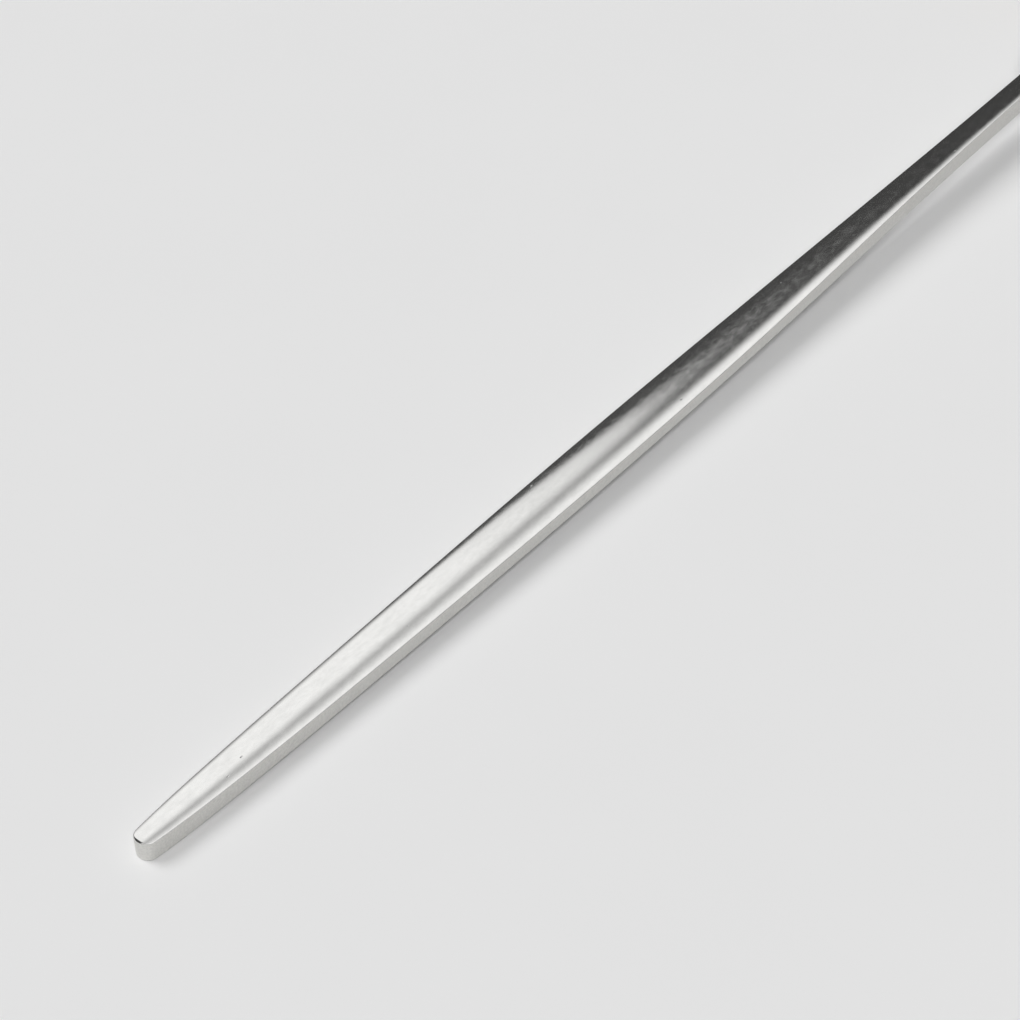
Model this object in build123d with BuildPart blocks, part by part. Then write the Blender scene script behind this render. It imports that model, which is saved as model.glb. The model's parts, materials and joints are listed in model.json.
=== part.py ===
from build123d import *
import os
from math import acos, atan2, cos, degrees, hypot, radians, sin, sqrt

# Garden dibber: a forged stainless leaf blade on a tang, set in a turned wooden handle.
#
# Every piece is drawn in the tool's own frame: x runs along the tool's axis from the tip to the
# butt, y across it and z away from the blade's flat underside. The tool lies on its underside,
# so that frame is then tilted a little: the tip and the swell of the handle both touch z = 0.
# The origin is under the middle of the whole tool. All sizes are in millimetres.

# ---- driving dimensions ------------------------------------------------------------------

OVERALL_LENGTH = 420.0

# blade, measured from its tip
UNDERSIDE_DROP = 2.5          # from the tool's axis down to the blade's flat underside
TIP_RADIUS = 2.35             # the blunt tip, seen from above
TIP_FLARE = 5.7               # degrees by which the edges open where the tip's round ends
TIP_THICKNESS = 5.1
LEAF = (                      # station, half width, and thickness on the centre line
    (20.0, 3.45, 4.90),
    (60.0, 4.45, 4.55),
    (125.0, 5.22, 4.40),
    (185.0, 4.60, 4.35),
    (230.0, 3.38, 4.95),
    (265.0, 2.68, 5.27),
)
UNDERSIDE_MOUNT_STATION = 140.0
NECK_STATION = 290.0
NECK_HALF_WIDTH = 2.5
NECK_THICKNESS = 5.4
CROWN_SLOPE = 25.0            # degrees by which the crowned top slopes where it meets the sides
BAR_SPARE = 0.8               # what the bar has on each side before its plan is cut
BAR_OVERRUN = 10.0            # what it has before the tip and past the neck
ARRIS_FILLET = 0.22

# bolster and tang
BOLSTER_START = 280.0
BOLSTER_ROOT_RADIUS = 1.0     # where the flare begins, still inside the neck
BOLSTER_RADIUS = 5.3
BOLSTER_LENGTH = 3.2
BOLSTER_FILLET = 0.5
TANG_START_SIDE = 4.4
TANG_END_SIDE = 3.0
TANG_LENGTH = 74.0

# ferrule
FERRULE_STATION = 297.0
FERRULE_LENGTH = 26.0
FERRULE_FRONT_RADIUS = 6.7
FERRULE_REAR_RADIUS = 7.3
FERRULE_WALL = 0.8
FERRULE_FACE = 1.0
FERRULE_ROUND = 1.3
FERRULE_BEAD_RADIUS = 0.5     # rolled edge round its open end
PIN_RADIUS = 1.25
PIN_FROM_FACE = 13.0
PIN_HEAD_RISE = 0.35

# handle
HANDLE_SHOULDER_RADIUS = 7.8
BELLY_STATION = 358.0
BELLY_RADIUS = 10.5
WAIST_STATION = 393.0
WAIST_RADIUS = 8.8
CREST_STATION = 410.5
CREST_RADIUS = 10.0
GROOVE_STATIONS = (329.0, 331.6)
GROOVE_RADIUS = 0.45
TANG_BORE_RADIUS = 3.3
TANG_BORE_SPARE = 3.0         # hole drilled past the tang's end

# eyelet in the hanging hole
EYELET_STATION = 404.5
EYELET_BORE_RADIUS = 2.75
EYELET_WALL = 0.45
EYELET_LIP_RADIUS = 4.6
EYELET_LIP_THICKNESS = 0.7
EYELET_LIP_FILLET = 0.3
EYELET_HALF_LENGTH = 9.2
EYELET_SEAT_SPARE = 0.15

# ---- worked out from them ----------------------------------------------------------------

FERRULE_END = FERRULE_STATION + FERRULE_LENGTH
PIN_STATION = FERRULE_STATION + PIN_FROM_FACE
TANG_END = FERRULE_STATION + TANG_LENGTH
BORE_END = TANG_END + TANG_BORE_SPARE
FERRULE_BORE_FRONT = FERRULE_FRONT_RADIUS - FERRULE_WALL
FERRULE_BORE_REAR = FERRULE_REAR_RADIUS - FERRULE_WALL
REACH = 2 * OVERALL_LENGTH    # longer than anything that a cut has to pass through


def rise_radius(run, rise):
    """Radius of the arc that climbs by rise over run and ends level."""
    return (run**2 + rise**2) / (2 * rise)


def resting_tilt():
    """Angle of the axis when the tip's underside and the front of the swell are on the ground."""
    swell = rise_radius(BELLY_STATION - FERRULE_END, BELLY_RADIUS - HANDLE_SHOULDER_RADIUS)
    centre_height = UNDERSIDE_DROP + swell - BELLY_RADIUS
    return atan2(BELLY_STATION, centre_height) - acos(swell / hypot(BELLY_STATION, centre_height))


TILT = resting_tilt()
ALONG = Vector(cos(TILT), 0, sin(TILT))
UPWARD = Vector(-sin(TILT), 0, cos(TILT))
TIP_POINT = Vector(-OVERALL_LENGTH * cos(TILT) / 2, 0, UNDERSIDE_DROP * cos(TILT))
TOOL_AXIS = Axis(TIP_POINT, ALONG)


def station(x, z=0.0):
    """Point of the tool's middle plane, x from the tip and z from the axis."""
    return TIP_POINT + ALONG * x + UPWARD * z


def cross_plane(x):
    """Plane across the tool at a station: local x is the tool's y and local y its z."""
    return Plane(origin=station(x), x_dir=(0, 1, 0), z_dir=ALONG)


def side_plane():
    """Middle plane of the tool: local x from the tip, local y from the axis."""
    return Plane(origin=TIP_POINT, x_dir=ALONG, z_dir=(0, -1, 0))


def level_plane(x, z):
    """Plane parallel to the blade's underside, centred on a station."""
    return Plane(origin=station(x, z), x_dir=ALONG, z_dir=UPWARD)


# ---- blade -------------------------------------------------------------------------------


def crowned_section(x, half_width, thickness):
    """Section of the blade before its sides are cut: flat below, crowned above."""
    crown = half_width / sin(radians(CROWN_SLOPE))
    side = half_width + BAR_SPARE
    top = thickness - UNDERSIDE_DROP
    edge = top - crown + sqrt(crown**2 - side**2)
    with BuildSketch(cross_plane(x)) as section:
        with BuildLine():
            ThreePointArc((side, edge), (0, top), (-side, edge))
            Polyline((-side, edge), (-side, -UNDERSIDE_DROP), (side, -UNDERSIDE_DROP), (side, edge))
        make_face()
    return section.sketch


def leaf_outline():
    """Plan of the blade from its blunt tip to the neck, as a sketch on the underside."""
    turn = radians(90 - TIP_FLARE)
    round_end = (TIP_RADIUS * (1 - cos(turn)), TIP_RADIUS * sin(turn))
    with BuildSketch(level_plane(0, -UNDERSIDE_DROP)) as plan:
        with BuildLine():
            ThreePointArc((round_end[0], -round_end[1]), (0, 0), round_end)
            for side in (1, -1):
                Spline(
                    (round_end[0], side * round_end[1]),
                    *((x, side * half_width) for x, half_width, thickness in LEAF),
                    (NECK_STATION, side * NECK_HALF_WIDTH),
                    tangents=((cos(radians(TIP_FLARE)), side * sin(radians(TIP_FLARE))), (1, 0)),
                )
            Line((NECK_STATION, NECK_HALF_WIDTH), (NECK_STATION, -NECK_HALF_WIDTH))
        make_face()
    return plan.sketch


def crowned_bar():
    """The bar along its whole length, before its plan is cut."""
    with BuildPart() as bar:
        add(crowned_section(-BAR_OVERRUN, TIP_RADIUS, TIP_THICKNESS))
        for x, half_width, thickness in LEAF:
            add(crowned_section(x, half_width, thickness))
        add(crowned_section(NECK_STATION, NECK_HALF_WIDTH, NECK_THICKNESS))
        add(crowned_section(NECK_STATION + BAR_OVERRUN, NECK_HALF_WIDTH, NECK_THICKNESS))
        loft()
    return bar.part


def bolster():
    """Flare from the neck to the round collar that stands against the ferrule."""
    collar_start = FERRULE_STATION - BOLSTER_LENGTH
    with BuildPart() as flare:
        with BuildSketch(side_plane()):
            with BuildLine():
                Line((BOLSTER_START, 0), (BOLSTER_START, BOLSTER_ROOT_RADIUS))
                Spline(
                    (BOLSTER_START, BOLSTER_ROOT_RADIUS),
                    (collar_start, BOLSTER_RADIUS),
                    tangents=((1, 0.12), (0.25, 1)),
                )
                Polyline(
                    (collar_start, BOLSTER_RADIUS),
                    (FERRULE_STATION, BOLSTER_RADIUS),
                    (FERRULE_STATION, 0),
                    (BOLSTER_START, 0),
                )
            make_face()
        revolve(axis=TOOL_AXIS)
        rims = flare.edges().filter_by(GeomType.CIRCLE).filter_by(is_collar_rim)
        fillet(rims, radius=BOLSTER_FILLET)
    return flare.part


def is_collar_rim(edge):
    """Tell the two rims of the collar from the other circles on the bolster."""
    return edge.radius > BOLSTER_RADIUS - BOLSTER_FILLET / 2


def tang_shape():
    """Square tang, tapering into the handle."""
    with BuildPart() as tang:
        with BuildSketch(cross_plane(FERRULE_STATION)):
            Rectangle(TANG_START_SIDE, TANG_START_SIDE)
        with BuildSketch(cross_plane(TANG_END)):
            Rectangle(TANG_END_SIDE, TANG_END_SIDE)
        loft()
    return tang.part


def pin_bore():
    """What is drilled away for the ferrule pin."""
    with BuildPart() as bore:
        with BuildSketch(side_plane()):
            with Locations((PIN_STATION, 0)):
                Circle(PIN_RADIUS)
        extrude(amount=REACH, both=True)
    return bore.part


def make_blade():
    """Leaf, neck, bolster and tang, all one forging."""
    with BuildPart() as blade:
        add(crowned_bar())
        extrude(leaf_outline(), amount=2 * NECK_THICKNESS, mode=Mode.INTERSECT)
        neck_end = blade.faces().sort_by(TOOL_AXIS)[-1]
        fillet(blade.edges() - neck_end.edges(), radius=ARRIS_FILLET)
        add(bolster())
        add(tang_shape())
        add(pin_bore(), mode=Mode.SUBTRACT)
    return blade


# ---- ferrule and its pin -----------------------------------------------------------------


def make_ferrule():
    """Spun cup: pierced face with a rounded corner, tapered wall and a rolled edge."""
    with BuildPart() as ferrule:
        with BuildSketch(side_plane()):
            with BuildLine():
                corner = (FERRULE_STATION + FERRULE_ROUND, FERRULE_FRONT_RADIUS)
                Line((FERRULE_STATION, TANG_BORE_RADIUS), (FERRULE_STATION, corner[1] - FERRULE_ROUND))
                TangentArc((FERRULE_STATION, corner[1] - FERRULE_ROUND), corner, tangent=(0, 1))
                Polyline(
                    corner,
                    (FERRULE_END, FERRULE_REAR_RADIUS),
                    (FERRULE_END, FERRULE_BORE_REAR),
                    (FERRULE_STATION + FERRULE_FACE, FERRULE_BORE_FRONT),
                    (FERRULE_STATION + FERRULE_FACE, TANG_BORE_RADIUS),
                    (FERRULE_STATION, TANG_BORE_RADIUS),
                )
            make_face()
            with Locations((FERRULE_END - FERRULE_BEAD_RADIUS, FERRULE_REAR_RADIUS)):
                Circle(FERRULE_BEAD_RADIUS)
        revolve(axis=TOOL_AXIS)
        add(pin_bore(), mode=Mode.SUBTRACT)
    return ferrule


def make_ferrule_pin():
    """Straight pin through ferrule, wood and tang, with both ends hammered into low domes."""
    taper = (FERRULE_REAR_RADIUS - FERRULE_FRONT_RADIUS) / FERRULE_LENGTH
    half = FERRULE_FRONT_RADIUS + taper * PIN_FROM_FACE
    pin_plane = Plane(origin=station(PIN_STATION), x_dir=ALONG, z_dir=UPWARD)
    with BuildPart() as pin:
        with BuildSketch(pin_plane):
            with BuildLine():
                Line((0, -half - PIN_HEAD_RISE), (0, half + PIN_HEAD_RISE))
                for side in (1, -1):
                    crown = (0, side * (half + PIN_HEAD_RISE))
                    TangentArc(crown, (PIN_RADIUS, side * half), tangent=(1, 0))
                Line((PIN_RADIUS, -half), (PIN_RADIUS, half))
            make_face()
        revolve(axis=Axis(pin_plane.origin, pin_plane.y_dir))
    return pin


# ---- handle ------------------------------------------------------------------------------


def grip_radius(x):
    """Radius of the grip's front swell at a station."""
    swell = rise_radius(BELLY_STATION - FERRULE_END, BELLY_RADIUS - HANDLE_SHOULDER_RADIUS)
    return BELLY_RADIUS - swell + sqrt(swell**2 - (BELLY_STATION - x) ** 2)


def eyelet_seat():
    """What is drilled away for the eyelet: its hole and the flat seats of its two lips."""
    seat_depth = EYELET_HALF_LENGTH - EYELET_LIP_THICKNESS
    with BuildPart() as seat:
        with BuildSketch(level_plane(EYELET_STATION, 0)):
            Circle(EYELET_BORE_RADIUS + EYELET_WALL)
        extrude(amount=REACH, both=True)
        for side in (1, -1):
            with BuildSketch(level_plane(EYELET_STATION, side * seat_depth)):
                Circle(EYELET_LIP_RADIUS + EYELET_SEAT_SPARE)
            extrude(amount=side * BELLY_RADIUS)
    return seat.part


def make_handle():
    """Turned grip: tenon in the ferrule, palm swell, waist and rounded butt."""
    with BuildPart() as handle:
        with BuildSketch(side_plane()):
            with BuildLine():
                tenon_start = FERRULE_STATION + FERRULE_FACE
                shoulder = (FERRULE_END, HANDLE_SHOULDER_RADIUS)
                belly = (BELLY_STATION, BELLY_RADIUS)
                crest = (CREST_STATION, CREST_RADIUS)
                Polyline(
                    (OVERALL_LENGTH, 0),
                    (tenon_start, 0),
                    (tenon_start, FERRULE_BORE_FRONT),
                    (FERRULE_END, FERRULE_BORE_REAR),
                    shoulder,
                )
                TangentArc(belly, shoulder, tangent=(-1, 0))
                Spline(belly, (WAIST_STATION, WAIST_RADIUS), crest, tangents=((1, 0), (1, 0)))
                EllipticalCenterArc(
                    (CREST_STATION, 0),
                    x_radius=OVERALL_LENGTH - CREST_STATION,
                    y_radius=CREST_RADIUS,
                    start_angle=0,
                    arc_size=90,
                )
            make_face()
        revolve(axis=TOOL_AXIS)
        with BuildSketch(side_plane()):
            for x in GROOVE_STATIONS:
                with Locations((x, grip_radius(x))):
                    Circle(GROOVE_RADIUS)
        revolve(axis=TOOL_AXIS, mode=Mode.SUBTRACT)
        with BuildSketch(cross_plane(FERRULE_STATION)):
            Circle(TANG_BORE_RADIUS)
        extrude(amount=BORE_END - FERRULE_STATION, mode=Mode.SUBTRACT)
        add(pin_bore(), mode=Mode.SUBTRACT)
        add(eyelet_seat(), mode=Mode.SUBTRACT)
    return handle


def make_tang_bedding():
    """Cured epoxy that fills the drilled hole round the tang."""
    with BuildPart() as bedding:
        with BuildSketch(cross_plane(FERRULE_STATION)):
            Circle(TANG_BORE_RADIUS)
        extrude(amount=BORE_END - FERRULE_STATION)
        add(tang_shape(), mode=Mode.SUBTRACT)
        add(pin_bore(), mode=Mode.SUBTRACT)
    return bedding


def make_hanging_eyelet():
    """Tubular rivet with a flat lip at each end, lining the hanging hole."""
    with BuildPart() as eyelet:
        with BuildSketch(level_plane(EYELET_STATION, 0)):
            Circle(EYELET_BORE_RADIUS + EYELET_WALL)
        extrude(amount=EYELET_HALF_LENGTH, both=True)
        for side in (1, -1):
            with BuildSketch(level_plane(EYELET_STATION, side * EYELET_HALF_LENGTH)):
                Circle(EYELET_LIP_RADIUS)
            extrude(amount=-side * EYELET_LIP_THICKNESS)
        outer_rims = eyelet.edges().filter_by(GeomType.CIRCLE).group_by(Axis(TIP_POINT, UPWARD))
        fillet(outer_rims[0] + outer_rims[-1], radius=EYELET_LIP_FILLET)
        with BuildSketch(level_plane(EYELET_STATION, 0)):
            Circle(EYELET_BORE_RADIUS)
        extrude(amount=REACH, both=True, mode=Mode.SUBTRACT)
    return eyelet


# ---- write one STEP for each piece -------------------------------------------------------

PIECES = {
    "blade": make_blade,
    "ferrule": make_ferrule,
    "ferrule_pin": make_ferrule_pin,
    "handle": make_handle,
    "tang_bedding": make_tang_bedding,
    "hanging_eyelet": make_hanging_eyelet,
}

os.makedirs("parts", exist_ok=True)
for name, make_piece in PIECES.items():
    piece = make_piece()
    piece.part.label = name
    export_step(piece.part, f"parts/{name}.step")

print(f"rests at {degrees(TILT):.3f} degrees")
for label, point in (
    ("eyelet", station(EYELET_STATION)),
    ("underside", station(UNDERSIDE_MOUNT_STATION, -UNDERSIDE_DROP)),
):
    print(label, [round(value, 4) for value in point])
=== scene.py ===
import json
from math import atan2, cos, hypot, pi, radians, sin, sqrt, tan

import bmesh
import bpy
import numpy as np
from mathutils import Matrix, Vector


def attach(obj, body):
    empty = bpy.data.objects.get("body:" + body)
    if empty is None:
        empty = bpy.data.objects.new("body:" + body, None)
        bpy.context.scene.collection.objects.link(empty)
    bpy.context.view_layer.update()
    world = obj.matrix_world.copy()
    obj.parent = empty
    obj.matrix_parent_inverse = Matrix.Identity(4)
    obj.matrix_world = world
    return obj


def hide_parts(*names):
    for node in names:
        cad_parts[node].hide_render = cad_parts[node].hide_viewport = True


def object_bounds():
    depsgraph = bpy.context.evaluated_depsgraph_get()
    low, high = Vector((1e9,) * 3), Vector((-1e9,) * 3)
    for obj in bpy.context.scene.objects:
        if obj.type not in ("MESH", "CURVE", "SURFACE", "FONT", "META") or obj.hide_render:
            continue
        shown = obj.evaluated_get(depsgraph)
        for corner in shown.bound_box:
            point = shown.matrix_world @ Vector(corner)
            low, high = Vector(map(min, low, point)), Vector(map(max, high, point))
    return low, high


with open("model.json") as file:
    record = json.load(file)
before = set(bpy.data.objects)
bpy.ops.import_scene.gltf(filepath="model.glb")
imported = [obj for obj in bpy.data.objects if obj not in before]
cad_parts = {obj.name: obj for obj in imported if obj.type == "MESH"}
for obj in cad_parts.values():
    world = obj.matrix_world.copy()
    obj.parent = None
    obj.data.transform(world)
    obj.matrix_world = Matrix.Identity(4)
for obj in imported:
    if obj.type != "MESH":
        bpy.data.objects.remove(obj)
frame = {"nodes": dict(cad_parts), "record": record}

# Looks of the garden dibber: a satin steel leaf blade, a spun steel ferrule and a turned ash
# handle with a brass eyelet. Lengths are in metres in the frame's own axes; textures are laid
# out in millimetres along and across the tool.

CAD_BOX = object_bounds()
LOW = Vector(CAD_BOX[0])
MM = 0.001
PER_METRE = 1000.0

UNDERSIDE = next(m for m in frame["record"]["mounts"] if m["name"] == "blade_underside")
TILT = atan2(UNDERSIDE["axis"][0], -UNDERSIDE["axis"][2])
NECK_END = 72.0               # millimetres from the middle of the tool
MATT_FADE = 4.0               # over which the side walls' matt finish ends there

# ---- camera ------------------------------------------------------------------------------

CAMERA_AZIMUTH = radians(-49.5)
CAMERA_ELEVATION = radians(45.0)
CAMERA_LENS = 100.0
CAMERA_SENSOR = 36.0
CAMERA_DISTANCE = 0.567
LOOK_FROM_TIP = Vector((0.1098, 0.0069, 0.0))


def make_camera():
    """A long lens from above, on the near right side of the blade's tip."""
    sight = Vector((
        -sin(CAMERA_AZIMUTH) * cos(CAMERA_ELEVATION),
        cos(CAMERA_AZIMUTH) * cos(CAMERA_ELEVATION),
        -sin(CAMERA_ELEVATION),
    ))
    data = bpy.data.cameras.new("camera")
    data.lens = CAMERA_LENS
    data.sensor_width = CAMERA_SENSOR
    data.clip_start = 0.01
    camera = bpy.data.objects.new("camera", data)
    target = Vector((LOW.x, 0, 0)) + LOOK_FROM_TIP
    camera.location = target - sight * CAMERA_DISTANCE
    camera.rotation_euler = sight.to_track_quat("-Z", "Y").to_euler()
    bpy.context.scene.collection.objects.link(camera)
    bpy.context.scene.camera = camera


# ---- short calls for node graphs ---------------------------------------------------------


class Graph:
    """Adds nodes to one node tree, and joins them."""

    def __init__(self, tree):
        self.tree = tree
        tree.nodes.clear()

    def node(self, kind, inputs=None, **settings):
        made = self.tree.nodes.new(kind)
        for name, value in settings.items():
            setattr(made, name, value)
        for name, value in (inputs or {}).items():
            self.feed(made.inputs[name], value)
        return made

    def feed(self, socket, value):
        if isinstance(value, bpy.types.NodeSocket):
            self.tree.links.new(value, socket)
        else:
            socket.default_value = value

    def math(self, operation, a, b=0.0):
        return self.node("ShaderNodeMath", {0: a, 1: b}, operation=operation).outputs[0]

    def product(self, *values):
        total = values[0]
        for value in values[1:]:
            total = self.math("MULTIPLY", total, value)
        return total

    def dot(self, vector, direction):
        made = self.node("ShaderNodeVectorMath", {0: vector, 1: direction}, operation="DOT_PRODUCT")
        return made.outputs["Value"]

    def step(self, value, low, high, start=0.0, end=1.0):
        """Smooth climb from start to end while value goes from low to high."""
        ends = {"Value": value, "From Min": low, "From Max": high, "To Min": start, "To Max": end}
        made = self.node("ShaderNodeMapRange", ends, interpolation_type="SMOOTHSTEP")
        return made.outputs["Result"]

    def ramp(self, value, *stops):
        """Colour that runs through (place, colour) stops."""
        made = self.node("ShaderNodeValToRGB", {"Fac": value})
        elements = made.color_ramp.elements
        while len(elements) < len(stops):
            elements.new(0.5)
        for element, (place, colour) in zip(elements, stops):
            element.position = place
            element.color = (*colour, 1.0)
        return made.outputs["Color"]

    def blend(self, share, a, b, how="MIX"):
        made = self.node("ShaderNodeMix", data_type="RGBA", blend_type=how)
        self.feed(made.inputs["Factor"], share)
        for socket, value in ((made.inputs[6], a), (made.inputs[7], b)):
            self.feed(socket, (*value, 1.0) if isinstance(value, tuple) else value)
        return made.outputs[2]

    def tool_space(self, stretch=(1, 1, 1), shift=(0, 0, 0)):
        """Millimetres along and across the tool, times stretch."""
        place = self.node("ShaderNodeTexCoord").outputs["Object"]
        turn = self.node("ShaderNodeMapping", {"Vector": place, "Rotation": (0, TILT, 0)})
        scale = tuple(PER_METRE * axis for axis in stretch)
        inputs = {"Vector": turn.outputs[0], "Scale": scale, "Location": shift}
        return self.node("ShaderNodeMapping", inputs).outputs[0]

    def noise(self, stretch, detail=2.0, roughness=0.5, shift=(0, 0, 0)):
        """Noise whose grains are about 1 / stretch millimetres each way."""
        inputs = {
            "Vector": self.tool_space(stretch, shift),
            "Scale": 1.0,
            "Detail": detail,
            "Roughness": roughness,
        }
        return self.node("ShaderNodeTexNoise", inputs).outputs["Fac"]

    def bump(self, height, depth_mm, under=None):
        inputs = {"Height": height, "Distance": depth_mm * MM, "Strength": 1.0}
        if under is not None:
            inputs["Normal"] = under
        return self.node("ShaderNodeBump", inputs).outputs["Normal"]


def new_material(name):
    material = bpy.data.materials.new(name)
    material.use_nodes = True
    return material, Graph(material.node_tree)


def finish_material(graph, **sockets):
    """One Principled shader, fed with what is given."""
    names = {key.replace("_", " "): value for key, value in sockets.items()}
    shader = graph.node("ShaderNodeBsdfPrincipled", names)
    output = graph.node("ShaderNodeOutputMaterial")
    graph.tree.links.new(shader.outputs[0], output.inputs["Surface"])


# ---- the blade ---------------------------------------------------------------------------
# Its sizes are the CAD's, in millimetres from the tip and from the tool's axis.

TOOL_LENGTH = 420.0
UNDERSIDE_DROP = 2.5
TIP_RADIUS = 2.35
TIP_FLARE = radians(5.7)
TIP_THICKNESS = 5.1
LEAF = (                      # station, half width, and thickness on the centre line
    (20.0, 3.45, 4.90),
    (60.0, 4.45, 4.55),
    (125.0, 5.22, 4.40),
    (185.0, 4.60, 4.35),
    (230.0, 3.38, 4.95),
    (265.0, 2.68, 5.27),
)
NECK = (290.0, 2.5, 5.4)
CROWN_SLOPE = radians(25.0)
ARRIS = 0.22                  # radius of the softened edges
FRONT_ARRIS = 0.25            # added to it round the front of the tip
BOLSTER_START = 280.0
BOLSTER_ROOT = 1.0
FLARE_RUN = 7.0               # first handle of the flare's curve, along and outwards
FLARE_RISE = 0.84
FLARE_PULL = 2.2              # length of its last handle
FLARE_ARRIVAL = radians(165)  # where it meets the collar's front corner
FLARE_POWER = 12              # how squarely the bar grows into the round collar
COLLAR = 5.3                  # radius of the collar
COLLAR_WIDTH = 3.2
COLLAR_ROUND = 0.5
FERRULE_STATION = 297.0
TANG_END = 371.0
TANG_HALVES = (2.2, 1.5)      # half its side, at the collar and at its end

CROWN_STEPS = 28
ROUND_STEPS = 5
WALL_STEPS = 14
TIP_STEPS = 14
LEAF_SPACING = 2.5
BOLSTER_STEPS = 16
SLOPE_STEP = 0.01             # run over which a slope is measured
WELD = 1e-7                   # metres
SHARP_ANGLE = radians(50)

TIP_POINT = Vector((-TOOL_LENGTH * cos(TILT) / 2, 0, UNDERSIDE_DROP * cos(TILT)))
ALONG = Vector((cos(TILT), 0, sin(TILT)))
UPWARD = Vector((-sin(TILT), 0, cos(TILT)))


def place(x, y, z):
    """Point of the scene, in metres, from millimetres in the tool's own frame."""
    return (TIP_POINT + ALONG * x + UPWARD * z + Vector((0, y, 0))) * MM


def smooth_curve(points, start_slope, end_slope):
    """Cubic spline through points, as a function of the first coordinate."""
    at, value = (np.array(column, dtype=float) for column in zip(*points))
    gap = np.diff(at)
    rise = np.diff(value) / gap
    count = len(at)
    system = np.eye(count)
    wanted = np.full(count, start_slope, dtype=float)
    wanted[-1] = end_slope
    for i in range(1, count - 1):
        system[i, i - 1:i + 2] = 1 / gap[i - 1], 2 / gap[i - 1] + 2 / gap[i], 1 / gap[i]
        wanted[i] = 3 * (rise[i - 1] / gap[i - 1] + rise[i] / gap[i])
    slope = np.linalg.solve(system, wanted)

    def curve(x):
        i = int(np.clip(np.searchsorted(at, x) - 1, 0, count - 2))
        t = (x - at[i]) / gap[i]
        if t < 0:
            return value[0] + slope[0] * (x - at[0])
        if t > 1:
            return value[-1] + slope[-1] * (x - at[-1])
        bend = (1 - t) * (slope[i] - rise[i]) - t * (slope[i + 1] - rise[i])
        return (1 - t) * value[i] + t * value[i + 1] + t * (1 - t) * gap[i] * bend

    return curve


ROUND_END = (TIP_RADIUS * (1 - sin(TIP_FLARE)), TIP_RADIUS * cos(TIP_FLARE))
half_width = smooth_curve(
    [ROUND_END] + [(x, half) for x, half, thick in LEAF] + [NECK[:2]], tan(TIP_FLARE), 0
)
thickness = smooth_curve(
    [(0, TIP_THICKNESS)] + [(x, thick) for x, half, thick in LEAF] + [(NECK[0], NECK[2])], 0, 0
)


def crown(x, y):
    """Height of the crowned top face over the tool's axis."""
    radius = half_width(x) / sin(CROWN_SLOPE)
    return thickness(x) - UNDERSIDE_DROP - radius + sqrt(radius**2 - y**2)


def edge_profile(x, half, outward):
    """Points (inset, z) down one edge: softened top arris, side wall, softened bottom arris."""
    arris = ARRIS + FRONT_ARRIS * max(0.0, -outward[0])**3
    y = half - arris * outward[1]
    inner = x - arris * outward[0]
    beyond = crown(inner + SLOPE_STEP * outward[0], y + SLOPE_STEP * outward[1])
    slope = atan2(crown(inner, y) - beyond, SLOPE_STEP)
    top = crown(inner, y) - arris / cos(slope)
    profile = []
    for k in range(ROUND_STEPS + 1):
        turn = slope + (pi / 2 - slope) * k / ROUND_STEPS
        profile.append((arris * (1 - sin(turn)), top + arris * cos(turn)))
    foot = ARRIS - UNDERSIDE_DROP
    profile += [(0, top + (foot - top) * k / WALL_STEPS) for k in range(1, WALL_STEPS)]
    for k in range(ROUND_STEPS + 1):
        turn = pi / 2 * k / ROUND_STEPS
        profile.append((ARRIS * (1 - cos(turn)), foot - ARRIS * sin(turn)))
    return profile


def blade_ring(x, half, outward):
    """One closed ring round the blade: crown, right edge, underside and left edge."""
    profile = edge_profile(x, half, outward)
    edge = [(x - inset * outward[0], half - inset * outward[1], z) for inset, z in profile]
    start_x, start_y, start_z = edge[0]
    lift = start_z - crown(start_x, start_y)
    across = [cos(pi * k / CROWN_STEPS) * start_y for k in range(1, CROWN_STEPS)]
    over = [(start_x, y, crown(start_x, y) + lift * (y / start_y)**2 if start_y else start_z)
            for y in across]
    foot_x, foot_y, foot_z = edge[-1]
    under = [(foot_x, -cos(pi * k / CROWN_STEPS) * foot_y, foot_z) for k in range(1, CROWN_STEPS)]
    right = [(a, -b, c) for a, b, c in edge]
    return over + right + under + edge[::-1]


def bolster_profile():
    """Stations and radii up the flare, round the collar and in to its back face."""
    corner = Vector((FERRULE_STATION - COLLAR_WIDTH + COLLAR_ROUND, COLLAR - COLLAR_ROUND))
    end = corner + COLLAR_ROUND * Vector((cos(FLARE_ARRIVAL), sin(FLARE_ARRIVAL)))
    control = (
        Vector((BOLSTER_START, BOLSTER_ROOT)),
        Vector((BOLSTER_START + FLARE_RUN, BOLSTER_ROOT + FLARE_RISE)),
        end - FLARE_PULL * Vector((sin(FLARE_ARRIVAL), -cos(FLARE_ARRIVAL))),
        end,
    )
    profile = []
    for k in range(BOLSTER_STEPS):
        t = k / BOLSTER_STEPS
        weights = ((1 - t)**3, 3 * t * (1 - t)**2, 3 * t**2 * (1 - t), t**3)
        profile.append(sum((w * c for w, c in zip(weights, control)), Vector((0, 0))))
    back = Vector((FERRULE_STATION - COLLAR_ROUND, COLLAR - COLLAR_ROUND))
    for centre, first, last in ((corner, FLARE_ARRIVAL, pi / 2), (back, pi / 2, 0)):
        for k in range(ROUND_STEPS + 1):
            turn = first + (last - first) * k / ROUND_STEPS
            profile.append(centre + COLLAR_ROUND * Vector((cos(turn), sin(turn))))
    return profile


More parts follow.
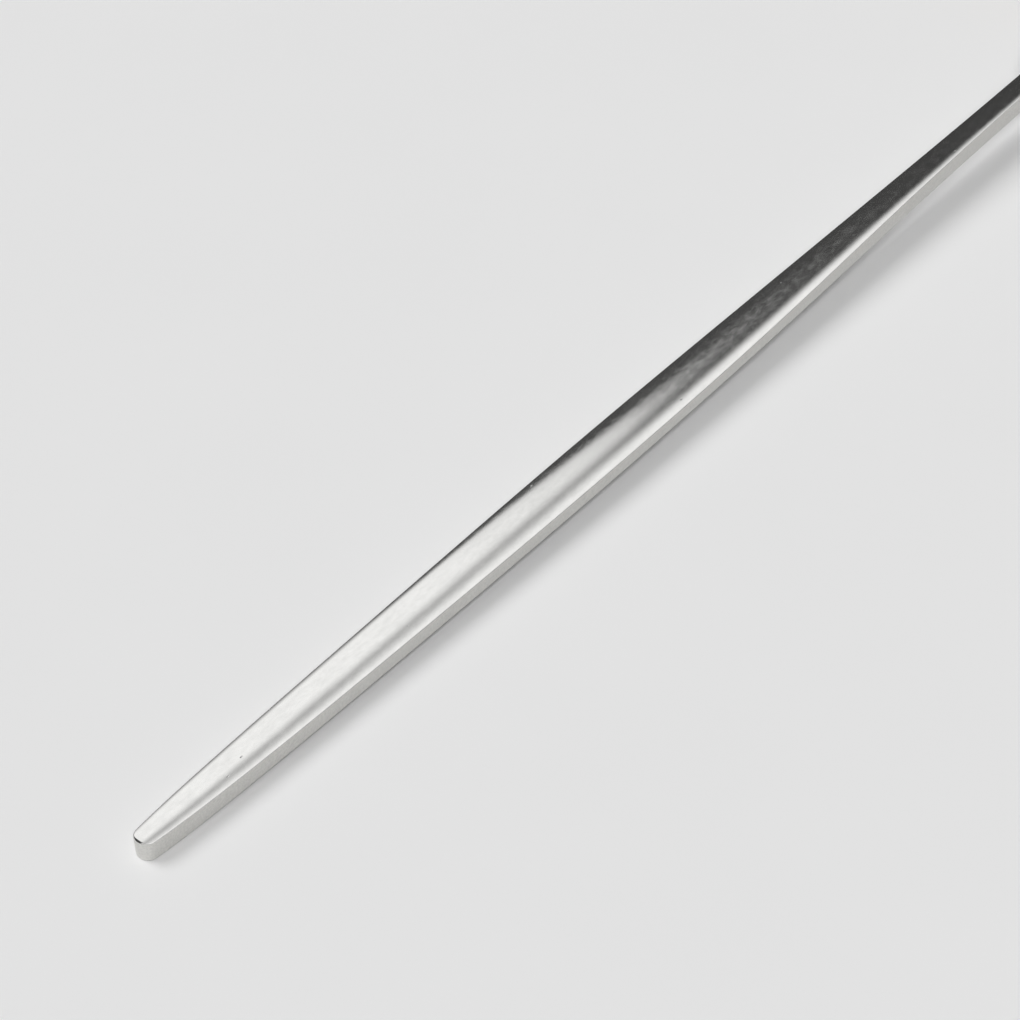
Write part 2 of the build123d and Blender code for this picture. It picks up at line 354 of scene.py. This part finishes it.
def blade_rings():
    """All rings, from the blunt tip over the leaf and the bolster to the end of the tang."""
    rings = []
    for k in range(TIP_STEPS):
        turn = (pi / 2 - TIP_FLARE) * k / TIP_STEPS
        x, half = TIP_RADIUS * (1 - cos(turn)), TIP_RADIUS * sin(turn)
        rings.append(blade_ring(x, half, (-cos(turn), sin(turn))))
    count = round((BOLSTER_START - ROUND_END[0]) / LEAF_SPACING)
    for x in np.linspace(ROUND_END[0], BOLSTER_START, count, endpoint=False):
        widening = atan2(half_width(x + SLOPE_STEP) - half_width(x), SLOPE_STEP)
        rings.append(blade_ring(x, half_width(x), (-sin(widening), cos(widening))))
    for x, radius in bolster_profile():
        bar = blade_ring(x, half_width(min(x, NECK[0])), (0, 1))
        reach = [hypot(y, z) for a, y, z in bar]
        swelling = [(d**FLARE_POWER + radius**FLARE_POWER)**(1 / FLARE_POWER) / d for d in reach]
        rings.append([(x, y * k, z * k) for (a, y, z), k in zip(bar, swelling)])
    for x, half in zip((FERRULE_STATION, TANG_END), TANG_HALVES):
        square = [half / max(abs(y), abs(z)) for a, y, z in rings[-1]]
        rings.append([(x, y * k, z * k) for (a, y, z), k in zip(rings[-1], square)])
    return rings


def skin(name, rings):
    """One closed smooth mesh over rings of equally many points."""
    mesh = bpy.data.meshes.new(name)
    shape = bmesh.new()
    loops = [[shape.verts.new(place(*point)) for point in ring] for ring in rings]
    for near, far in zip(loops, loops[1:]):
        for i in range(len(near)):
            shape.faces.new((near[i - 1], near[i], far[i], far[i - 1]))
    shape.faces.new(loops[-1])
    bmesh.ops.remove_doubles(shape, verts=shape.verts, dist=WELD)
    bmesh.ops.recalc_face_normals(shape, faces=shape.faces)
    shape.to_mesh(mesh)
    shape.free()
    mesh.shade_smooth()
    mesh.set_sharp_from_angle(angle=SHARP_ANGLE)
    piece = bpy.data.objects.new(name, mesh)
    bpy.context.scene.collection.objects.link(piece)
    return piece


def make_blade(material):
    """The whole forging, in place of the CAD one, with even rings for clean reflections."""
    piece = skin("forged_blade", blade_rings())
    piece.data.materials.append(material)
    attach(piece, "root")
    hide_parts("blade")


# ---- studio ------------------------------------------------------------------------------

SIDE_LIGHT = 1.61
TOP_LIGHT = 1.61
NEAR_WALL = 0.125
DARK_WALL = 0.098
BACK_WALL = 0.30
BACK_LIGHT = 0.95
ROOM = 0.16                   # even light on whatever isn't glossy
BACKDROP = (0.76, 0.76, 0.76, 1.0)
FLOOR_SIZE = 24.0

# Directions in which the soft boxes' edges are measured, and the edges themselves: a direction,
# then how far along it the light is off and how far it is full. They were placed for the
# photograph's camera, so the polish is darker from elsewhere.
ALONG_TOOL = (1.0, 0.0, 0.0)
ACROSS_TOOL = (0.0, 1.0, 0.0)
STRAIGHT_UP = (0.0, 0.0, 1.0)
LEANING = (-0.5, 1.0, 0.0)
VIEW_AHEAD = (0.760, 0.649, 0.0)
TIP_SIDE = (ALONG_TOOL, -0.10, 0.15)
TO_THE_RIGHT = (ACROSS_TOOL, 0.10, -0.20)
SIDE_BOX = (
    ((1.0, -0.164, -0.36), 0.275, 0.225),
    (ALONG_TOOL, 0.574, 0.558),
    (LEANING, -0.38, 0.18),
    (STRAIGHT_UP, 0.10, 0.38),
    TIP_SIDE,
)
TOP_BOX = (
    (LEANING, -0.065, -0.445),
    (ACROSS_TOOL, -0.75, -0.60),
    ((2.0, 1.0, 0.0), 1.35, 1.08),
    (STRAIGHT_UP, 0.33, 0.42),
    TIP_SIDE,
)
BACK_BOX = ((VIEW_AHEAD, -0.10, -0.45), (STRAIGHT_UP, 0.15, 0.55), TO_THE_RIGHT)
PALE_WALL = ((VIEW_AHEAD, 0.10, -0.30), TO_THE_RIGHT)
SIDE_END = (0.515, 0.485, 0.87)     # along the tool: where it is dimmed, where not, and how much
WALL_DUSK = (0.56, 0.68)            # along the tool, from the near wall's light to the dark wall's

LAMPS = {                     # name: (strength, width in degrees, from the blade to the lamp)
    "key": (1.49, 34.0, Vector((-0.25, 0.55, 0.80))),
    "fill": (1.44, 24.0, Vector((-0.45, -0.40, 0.80))),
}


def soft_light(g, way, edges, *strengths):
    """Light inside all the given soft edges, times the strengths."""
    inside = (g.step(g.dot(way, axis), off, full) for axis, off, full in edges)
    return g.product(*inside, *strengths)


def make_studio():
    """Boxes and walls that only glossy rays see, even light for other rays, and a backdrop."""
    world = bpy.data.worlds.new("studio")
    bpy.context.scene.world = world
    world.use_nodes = True
    g = Graph(world.node_tree)
    way = g.node("ShaderNodeTexCoord").outputs["Generated"]
    along = g.dot(way, ALONG_TOOL)
    dimmed, undimmed, share = SIDE_END
    side = soft_light(g, way, SIDE_BOX, g.step(along, dimmed, undimmed, share, 1.0), SIDE_LIGHT)
    top = soft_light(g, way, TOP_BOX, TOP_LIGHT)
    behind = soft_light(g, way, BACK_BOX, BACK_LIGHT)
    gloom = g.step(along, *WALL_DUSK, NEAR_WALL, DARK_WALL)
    wall = g.step(soft_light(g, way, PALE_WALL), 0.0, 1.0, gloom, BACK_WALL)
    panels = g.math("ADD", g.math("ADD", side, top), g.math("ADD", behind, wall))
    rays = g.node("ShaderNodeLightPath").outputs
    studio = g.node("ShaderNodeBackground", {"Strength": panels})
    room = g.node("ShaderNodeBackground", {"Strength": ROOM})
    backdrop = g.node("ShaderNodeBackground", {"Color": BACKDROP})
    lit = g.node(
        "ShaderNodeMixShader", {0: rays["Is Glossy Ray"], 1: room.outputs[0], 2: studio.outputs[0]}
    )
    seen = g.node(
        "ShaderNodeMixShader", {0: rays["Is Camera Ray"], 1: lit.outputs[0], 2: backdrop.outputs[0]}
    )
    g.tree.links.new(seen.outputs[0], g.node("ShaderNodeOutputWorld").inputs["Surface"])


def make_lamps():
    """Two soft lamps, flagged so that the polished blade doesn't mirror them."""
    for name, (strength, width, way) in LAMPS.items():
        light = bpy.data.lights.new(name, "SUN")
        light.energy = strength
        light.angle = radians(width)
        lamp = bpy.data.objects.new(name, light)
        lamp.rotation_euler = way.to_track_quat("Z", "Y").to_euler()
        lamp.visible_glossy = False
        bpy.context.scene.collection.objects.link(lamp)


def make_floor():
    """Wide pale table top that the tool lies on."""
    material, g = new_material("pale_floor")
    mottle = g.noise((0.02, 0.02, 0.02), detail=3.0)
    finish_material(
        g,
        Base_Color=g.ramp(mottle, (0.3, (0.876, 0.876, 0.876)), (0.7, (0.884, 0.884, 0.884))),
        Roughness=0.85,
    )
    bpy.ops.mesh.primitive_plane_add(size=FLOOR_SIZE)
    floor = bpy.context.object
    floor.name = "floor"
    floor.data.materials.append(material)


# ---- materials ---------------------------------------------------------------------------

PITH_BELOW = 34.0             # millimetres from the tool's axis to the tree's pith
PITH_ASIDE = 9.0
RING_WIDTH = 1.9

def satin_steel():
    """Forged stainless: faces satin polished along the blade, side walls left matt."""
    material, g = new_material("satin_steel")
    waves = g.noise((0.02, 0.07, 0.07), detail=1.0)
    hairlines = g.noise((0.35, 14.0, 14.0), detail=4.0, roughness=0.65)
    smudges = g.noise((0.12, 0.3, 0.3), detail=3.0)
    clouds = g.noise((0.45, 0.9, 0.9), detail=4.0, roughness=0.6)
    grain = g.noise((2.2, 2.2, 2.2), detail=3.0, roughness=0.6)
    cells = g.node(
        "ShaderNodeTexVoronoi",
        {
            "Vector": g.tool_space((0.11, 0.20, 0.20), (3.7, 1.3, 0.6)),
            "Scale": 1.0,
            "Randomness": 1.0,
        },
    )
    pits = g.step(cells.outputs["Distance"], 0.045, 0.02)
    facing = g.dot(g.node("ShaderNodeTexCoord").outputs["Normal"], (-sin(TILT), 0, cos(TILT)))
    station = g.node("ShaderNodeSeparateXYZ", {"Vector": g.tool_space()}).outputs["X"]
    walls = g.step(g.math("ABSOLUTE", facing), 0.62, 0.34)
    matt = g.product(walls, g.step(station, NECK_END, NECK_END - MATT_FADE))
    evened = g.ramp(smudges, (0.3, (0.595, 0.592, 0.581)), (0.7, (0.625, 0.622, 0.610)))
    clouding = g.ramp(clouds, (0.3, (0.94, 0.94, 0.94)), (0.7, (1.04, 1.04, 1.04)))
    satin = g.blend(1.0, evened, clouding, "MULTIPLY")
    blasted = g.ramp(grain, (0.3, (0.668, 0.662, 0.638)), (0.7, (0.792, 0.785, 0.756)))
    shade = g.blend(matt, satin, blasted)
    polished = g.bump(waves, 0.03)
    brushed = g.bump(hairlines, 0.002, polished)
    grained = g.bump(g.product(grain, matt), 0.02, brushed)
    finish_material(
        g,
        Base_Color=g.blend(g.product(pits, 0.5), shade, (0.25, 0.25, 0.25)),
        Metallic=g.step(matt, 0.0, 1.0, 1.0, 0.35),
        Roughness=g.math("ADD", g.step(clouds, 0.3, 0.7, 0.08, 0.13), g.product(matt, 0.36)),
        Normal=g.bump(pits, -0.03, grained),
    )
    return material


def spun_steel():
    """Stainless spun on a lathe: fine rings round the ferrule."""
    material, g = new_material("spun_steel")
    rings = g.noise((9.0, 0.05, 0.05), detail=3.0, roughness=0.6)
    smudges = g.noise((0.15, 0.2, 0.2), detail=3.0)
    finish_material(
        g,
        Base_Color=g.ramp(smudges, (0.3, (0.55, 0.55, 0.545)), (0.7, (0.61, 0.61, 0.60))),
        Metallic=1.0,
        Roughness=g.step(smudges, 0.3, 0.7, 0.22, 0.32),
        Normal=g.bump(rings, 0.006),
    )
    return material


def hammered_steel():
    """Pin with its ends hammered over."""
    material, g = new_material("hammered_steel")
    dents = g.noise((1.4, 1.4, 1.4), detail=2.0)
    finish_material(
        g,
        Base_Color=g.ramp(dents, (0.3, (0.42, 0.42, 0.41)), (0.7, (0.56, 0.56, 0.55))),
        Metallic=1.0,
        Roughness=0.35,
        Normal=g.bump(dents, 0.08),
    )
    return material


def oiled_ash():
    """Turned ash: growth rings, open pores in the early wood, and a worn oil finish."""
    material, g = new_material("oiled_ash")
    drift = g.noise((0.012, 0.05, 0.05), detail=2.0)
    spot = g.node("ShaderNodeSeparateXYZ", {"Vector": g.tool_space()})
    pith_away = g.math("ADD", spot.outputs["Z"], PITH_BELOW)
    sideways = g.math("ADD", spot.outputs["Y"], PITH_ASIDE)
    squared = g.math("ADD", g.product(pith_away, pith_away), g.product(sideways, sideways))
    radius = g.math("ADD", g.math("SQRT", squared), g.math("MULTIPLY", drift, 5.0))
    ring = g.math("FRACT", g.math("DIVIDE", radius, RING_WIDTH))
    early = g.product(g.step(ring, 0.0, 0.06), g.step(ring, 0.45, 0.2))
    pores = g.product(g.step(g.noise((0.16, 5.0, 5.0), detail=3.0), 0.52, 0.66), early)
    fibres = g.noise((0.06, 2.2, 2.2), detail=5.0, roughness=0.6)
    wood = g.blend(early, (0.60, 0.40, 0.22), (0.47, 0.285, 0.14))
    streaked = g.blend(g.step(fibres, 0.35, 0.7, 0.0, 0.55), wood, (0.70, 0.50, 0.30))
    soiled = g.noise((0.05, 0.08, 0.08), detail=4.0)
    worn = g.blend(g.step(soiled, 0.5, 0.75, 0.0, 0.35), streaked, (0.36, 0.22, 0.12))
    grain = g.math("SUBTRACT", g.math("MULTIPLY", fibres, 0.35), pores)
    finish_material(
        g,
        Base_Color=g.blend(g.product(pores, 0.75), worn, (0.20, 0.11, 0.05)),
        Roughness=g.step(fibres, 0.3, 0.7, 0.38, 0.52),
        Normal=g.bump(grain, 0.06),
    )
    return material


def dulled_brass():
    """Brass, polished once and dulled since."""
    material, g = new_material("dulled_brass")
    tarnish = g.noise((0.6, 0.6, 0.6), detail=4.0)
    finish_material(
        g,
        Base_Color=g.ramp(tarnish, (0.3, (0.78, 0.57, 0.27)), (0.75, (0.52, 0.35, 0.16))),
        Metallic=1.0,
        Roughness=g.step(tarnish, 0.3, 0.75, 0.2, 0.4),
        Normal=g.bump(tarnish, 0.01),
    )
    return material


def cured_epoxy():
    """Amber resin with fine bubbles, hidden in the handle."""
    material, g = new_material("cured_epoxy")
    bubbles = g.noise((1.5, 1.5, 1.5), detail=3.0)
    finish_material(
        g,
        Base_Color=g.ramp(bubbles, (0.3, (0.45, 0.36, 0.20)), (0.7, (0.55, 0.46, 0.28))),
        Roughness=0.4,
        Normal=g.bump(bubbles, 0.05),
    )
    return material


def dress(node, material):
    """Give a CAD node its finished material."""
    piece = frame["nodes"][node]
    for holder in piece.material_slots:
        holder.material = material


def dress_all():
    make_blade(satin_steel())
    dress("ferrule", spun_steel())
    dress("ferrule_pin", hammered_steel())
    dress("handle", oiled_ash())
    dress("hanging_eyelet", dulled_brass())
    dress("tang_bedding", cured_epoxy())


# ---- the scene ---------------------------------------------------------------------------

make_camera()
make_studio()
make_lamps()
make_floor()
dress_all()
bpy.context.scene.view_settings.view_transform = "Standard"
